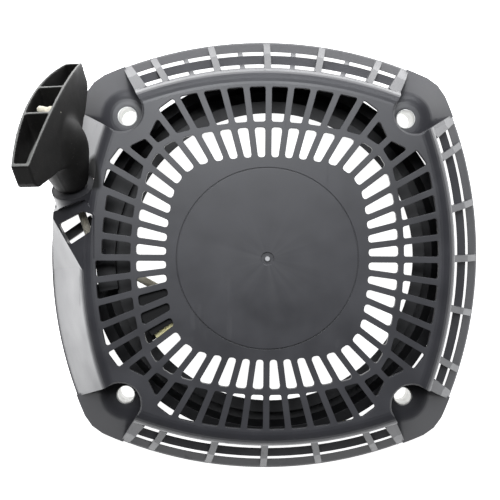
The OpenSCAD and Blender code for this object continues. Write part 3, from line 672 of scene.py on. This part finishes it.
def coil_path():
    """The wound rope: two turns on the drum, then the outer layer, which ends where the lead leaves."""
    inner_r = LEAD_R - 2.05 * ROPE_R
    inner = 2 * math.pi * 2
    outer = (LEAD_ANGLE - COIL_START) % (2 * math.pi) + 2 * math.pi
    low = ROPE_Z - 2.05 * MM
    high = ROPE_Z + 2.05 * MM
    steps = 900
    path = []
    for i in range(steps + 1):
        turned = (inner + outer) * i / steps
        climb = share_of(turned, inner - 0.35, inner + 0.35)
        r = inner_r + (LEAD_R - inner_r) * climb * climb * (3 - 2 * climb)
        if turned < inner:
            z = low + (high - low) * share_of(turned / inner, 0.2, 0.8)
        else:
            back = (turned - inner) / outer
            z = high + (ROPE_Z - high) * min(back * 1.3, 1)
        angle = COIL_START + turned
        path.append((r * math.cos(angle), r * math.sin(angle), z))
    return path


def make_wound_rope():
    coil = sweep("wound_rope", coil_path(), ROPE_R * 0.98, ROPE_STEP, ROPE_SIDES, braid)
    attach(coil, "reel")
    finish_as(coil, "rope")
    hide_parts("rope_coil")


def make_lead():
    """The rope from the coil to the eyelet and round its bend."""
    lead_end = TURN_AT - BEND_CUT * LEAD_DIR
    start = LEAD_FROM + LEAD_DIR * 1.0 * MM
    path = [start + (lead_end - start) * i / 20 for i in range(20)]
    path += [bend_point(BEND_ANGLE * i / 24) for i in range(25)]
    lead = sweep("rope_to_eyelet", path, ROPE_R, ROPE_STEP, ROPE_SIDES, braid)
    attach(lead, "shroud")
    finish_as(lead, "rope")
    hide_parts("rope_lead")


def make_outlet_rope():
    """The rope from the bend to the grip's seat, which draws out as the grip leaves."""
    low = bend_point(BEND_ANGLE)
    path = [low + (on_pull(-0.3 * MM) - low) * i / 60 for i in range(61)]
    run = sweep("rope_in_outlet", path, ROPE_R * 0.97, 0.4 * MM, 24)
    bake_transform(run)
    run.data.materials.append(MATERIALS["rope_run"])
    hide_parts("rope_run")


def make_reel_knot():
    """The knot inside the drum, with the short stretch that leads to it through the drum's wall."""
    drum_inner = reach("rope_coil") - 11.2 * MM
    out = np.array((math.cos(COIL_START), math.sin(COIL_START), 0))
    across = np.array((-out[1], out[0], 0))
    upright = np.array((0, 0, 1))
    level = upright * ROPE_Z
    centre = out * (drum_inner - 5.6 * MM) + level
    path = [out * (drum_inner + 2.6 * MM) + level, out * (drum_inner - 0.2 * MM) + level]
    path += [centre + q[0] * across - q[2] * out + q[1] * upright for q in knot_path(1.35 * MM)]
    inner_knot = sweep("knot_in_reel", rounded_path(path, 5), ROPE_R * 0.86, ROPE_STEP, ROPE_SIDES,
                       braid, 0.8 * MM)
    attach(inner_knot, "reel")
    finish_as(inner_knot, "rope")
    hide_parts("reel_knot")


def knot_path(scale):
    """Open overhand knot that is entered along +z, as points from its bottom to its free end."""
    first, last, steps = -1.98, 1.93, 14
    path = []
    for i in range(steps + 1):
        t = first + (last - first) * i / steps
        path.append((t ** 3 - 3 * t, t ** 4 - 4 * t ** 2 + 2, t ** 5 / 5 - 2 * t))
    knot = np.array(path) * scale
    knot[:, 2] *= 1.15
    return knot


# ---- grip ----

GRIP_TURN = (Matrix.Rotation(math.atan2(PULL[1], PULL[0]), 4, "Z")
             @ Matrix.Rotation(math.acos(PULL[2]), 4, "Y") @ Matrix.Rotation(GRIP_ROLL, 4, "Z"))
KNOT_SEAT = 35.0 * MM  # floor of the middle pocket, above the neck's seat


def in_grip(point):
    """Point given in the grip's own frame: x along the bar, z along the neck from its seat."""
    return SEAT + np.array(GRIP_TURN @ Vector(point))


def apply_modifiers(piece):
    """Bakes a piece's modifiers into its mesh."""
    shown = piece.evaluated_get(bpy.context.evaluated_depsgraph_get())
    baked = bpy.data.meshes.new_from_object(shown)
    piece.modifiers.clear()
    piece.data = baked


def vertex_values(data, what):
    """One vector per vertex: "co" for places, "normal" for normals."""
    values = np.empty(len(data.vertices) * 3)
    data.vertices.foreach_get(what, values)
    return values.reshape(-1, 3)


def averaged(data, place, weight, rounds):
    """Places after rounds of moving each vertex towards the mean of its neighbours, by its weight."""
    count = len(place)
    edges = np.empty(len(data.edges) * 2, int)
    data.edges.foreach_get("vertices", edges)
    edges = edges.reshape(-1, 2)
    edges = edges[(weight[edges[:, 0]] > 0) | (weight[edges[:, 1]] > 0)]
    ends = np.concatenate([edges, edges[:, ::-1]])
    neighbours = np.maximum(np.bincount(ends[:, 0], minlength=count), 1)
    for _ in range(rounds):
        total = np.stack([np.bincount(ends[:, 0], place[ends[:, 1], k], count) for k in range(3)], axis=1)
        place = place + (total / neighbours[:, None] - place) * weight[:, None]
    return place


def make_grip():
    """The moulded T-grip: the CAD shape with its moulded radii, blended neck and parting line."""
    source = frame["nodes"]["handle"]
    mesh = source.data.copy()
    mesh.transform(source.matrix_world)
    grip = bpy.data.objects.new("t_grip", mesh)
    bpy.context.scene.collection.objects.link(grip)
    weld = grip.modifiers.new("weld", "WELD")
    weld.merge_threshold = 0.01 * MM
    remesh = grip.modifiers.new("skin", "REMESH")
    remesh.mode = "VOXEL"
    remesh.voxel_size = 0.42 * MM
    remesh.use_smooth_shade = True
    smooth = grip.modifiers.new("radii", "SMOOTH")
    smooth.factor = 0.5
    smooth.iterations = 4
    apply_modifiers(grip)
    data = grip.data
    place = vertex_values(data, "co")
    normal = vertex_values(data, "normal")
    turn = np.array(GRIP_TURN.to_3x3())
    local = (place - SEAT) @ turn
    local_normal = normal @ turn
    # neck and bar run into each other with a wide radius: average only round their junction
    near = np.exp(-((np.hypot(local[:, 0], local[:, 1]) - 11 * MM) / (7 * MM)) ** 2
                  - ((local[:, 2] - 27 * MM) / (9 * MM)) ** 2)
    near = np.where((near > 0.05) & (np.abs(local[:, 0]) < 30 * MM), near, 0)
    place = averaged(data, place, 0.7 * near, 220)
    # parting line of the two-part mould, along the middle of the bar's outside and round the neck
    seam = np.exp(-(local[:, 1] / (0.3 * MM)) ** 2) * (np.abs(local_normal[:, 1]) < 0.35)
    outside = (local[:, 2] < 34 * MM) & (local[:, 2] > 2 * MM)
    place = place + normal * (0.1 * MM * seam * outside)[:, None]
    data.vertices.foreach_set("co", place.reshape(-1))
    data.update()
    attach(grip, "grip")
    finish_as(grip, "grip_plastic")
    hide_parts("handle")


def make_grip_rope():
    """The rope through the neck and the knot that holds it in the middle pocket."""
    path = [in_grip((0, 0, z * MM)) for z in np.linspace(0.3, 34.6, 50)]
    shaft = sweep("rope_in_grip", path, ROPE_R * 0.97, ROPE_STEP, ROPE_SIDES, braid)
    knot = [q + np.array((2.6, 0.0, KNOT_SEAT / MM + 9.6)) * MM for q in knot_path(1.62 * MM)]
    stub = [(8.2 * MM, -0.6 * MM, KNOT_SEAT + 12.6 * MM)]
    # the knot has been pulled over against the pocket's inner wall
    aside = np.array(GRIP_TURN.to_3x3().transposed() @ Vector((2.4 * MM, 0, 0)))
    points = [(0, 0, KNOT_SEAT - 1.5 * MM), (0, 0, KNOT_SEAT + 2.0 * MM)]
    points += [q + aside for q in knot + stub]
    tied = sweep("knot_in_grip", rounded_path([in_grip(q) for q in points], 6),
                 ROPE_R * 0.9, ROPE_STEP, ROPE_SIDES, braid, 0.9 * MM)
    for piece, node in ((shaft, "handle_rope"), (tied, "handle_knot")):
        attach(piece, "grip")
        finish_as(piece, "rope")
        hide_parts(node)


# ---- floor, light and camera ----

def area_light(name, size, power, place, target, colour=(1, 1, 1)):
    data = bpy.data.lights.new(name, "AREA")
    data.shape = "RECTANGLE"
    data.size, data.size_y = size
    data.energy = power
    data.color = colour
    light = bpy.data.objects.new(name, data)
    light.location = place
    light.rotation_euler = (Vector(target) - Vector(place)).to_track_quat("-Z", "Y").to_euler()
    bpy.context.scene.collection.objects.link(light)


def make_floor():
    """White paper under the part, which glows evenly, with painted pools of light on its left and beyond
    its top.
    """
    far = 3.0
    floor = add_mesh("floor", [(-far, -far, 0), (far, -far, 0), (far, far, 0), (-far, far, 0)],
                     [(0, 1, 2, 3)], smooth=False)
    s = Shader("floor_white", (0.86, 0.86, 0.87), 0.9)
    s.surface.inputs["Emission Color"].default_value = (1, 1, 1, 1)
    out = s.vector("LENGTH", s.place, output="Value")
    spot = s.node("ShaderNodeSeparateXYZ", {0: s.place})
    off_middle = s.math("ABSOLUTE", s.math("ADD", spot.outputs["Y"], 0.012))
    # painted pools of light: the paper glows more strongly on its left and beyond its top
    left = s.math("MULTIPLY", s.band(spot.outputs["X"], -0.05, -0.1), s.band(off_middle, 0.085, 0.02))
    top = s.band(spot.outputs["Y"], 0.055, 0.11)
    near = s.math("MULTIPLY", s.band(out, 0.10, 0.14), s.band(out, 0.45, 0.20))
    bright = s.math("MULTIPLY", near, s.math("MAXIMUM", left, top))
    base_glow, added_glow = 1.02, 2.3
    s.set("Emission Strength", s.math("ADD", s.math("MULTIPLY", bright, added_glow), base_glow))
    # seen from below, the paper is clear
    clear = s.node("ShaderNodeBsdfTransparent").outputs["BSDF"]
    below = s.node("ShaderNodeNewGeometry").outputs["Backfacing"]
    mixed = s.node("ShaderNodeMixShader", {0: below, 1: s.surface.outputs["BSDF"], 2: clear})
    s.tree.links.new(mixed.outputs["Shader"], s.tree.nodes["Material Output"].inputs["Surface"])
    floor.data.materials.append(s.material)
    floor.location.z = cad_box[0].z - 0.2 * MM


def make_lights():
    """A dim white world with a white backdrop, and two soft lights from above and beyond the part."""
    world = bpy.data.worlds.new("studio")
    world.use_nodes = True
    tree = world.node_tree
    dim = tree.nodes["Background"]
    dim.inputs["Color"].default_value = (1, 1, 1, 1)
    dim.inputs["Strength"].default_value = 0.06
    # the backdrop itself is white
    white = tree.nodes.new("ShaderNodeBackground")
    white.inputs["Color"].default_value = (1, 1, 1, 1)
    ray = tree.nodes.new("ShaderNodeLightPath")
    both = tree.nodes.new("ShaderNodeMixShader")
    tree.links.new(ray.outputs["Is Camera Ray"], both.inputs[0])
    tree.links.new(dim.outputs["Background"], both.inputs[1])
    tree.links.new(white.outputs["Background"], both.inputs[2])
    tree.links.new(both.outputs["Shader"], tree.nodes["World Output"].inputs["Surface"])
    bpy.context.scene.world = world
    aim = (0, 0, 0.03)
    cool = (0.95, 0.97, 1.0)
    area_light("top_edge", (1.2, 0.25), 6, (0.1, 1.0, 0.56), aim, cool)
    area_light("overhead", (0.7, 0.5), 14.5, (-0.06, 0.46, 1.3), aim, cool)


def make_camera():
    """The photograph's view: from nearly straight above the face."""
    data = bpy.data.cameras.new("camera")
    data.lens = 82.8
    data.sensor_width = 36
    data.clip_start = 0.05
    camera = bpy.data.objects.new("camera", data)
    place = Vector((-0.0165, 0.0165, 0.600))
    target = Vector((-0.0076, 0.0029, 0.0))
    back = (place - target).normalized()
    roll = math.radians(0.45)
    up = Vector((-math.sin(roll), math.cos(roll), 0))
    right = up.cross(back).normalized()
    up = back.cross(right)
    turn = Matrix((right, up, back)).transposed().to_4x4()
    camera.matrix_world = Matrix.Translation(place) @ turn
    bpy.context.scene.collection.objects.link(camera)
    bpy.context.scene.camera = camera


make_camera()
finish_cad_nodes()
make_sleeves()
make_wear_strip()
make_centre_screw()
make_friction_spring()
make_pawl_springs()
make_wound_rope()
make_lead()
make_outlet_rope()
make_reel_knot()
make_grip()
make_grip_rope()
make_floor()
make_lights()
bpy.context.scene.view_settings.view_transform = "Standard"
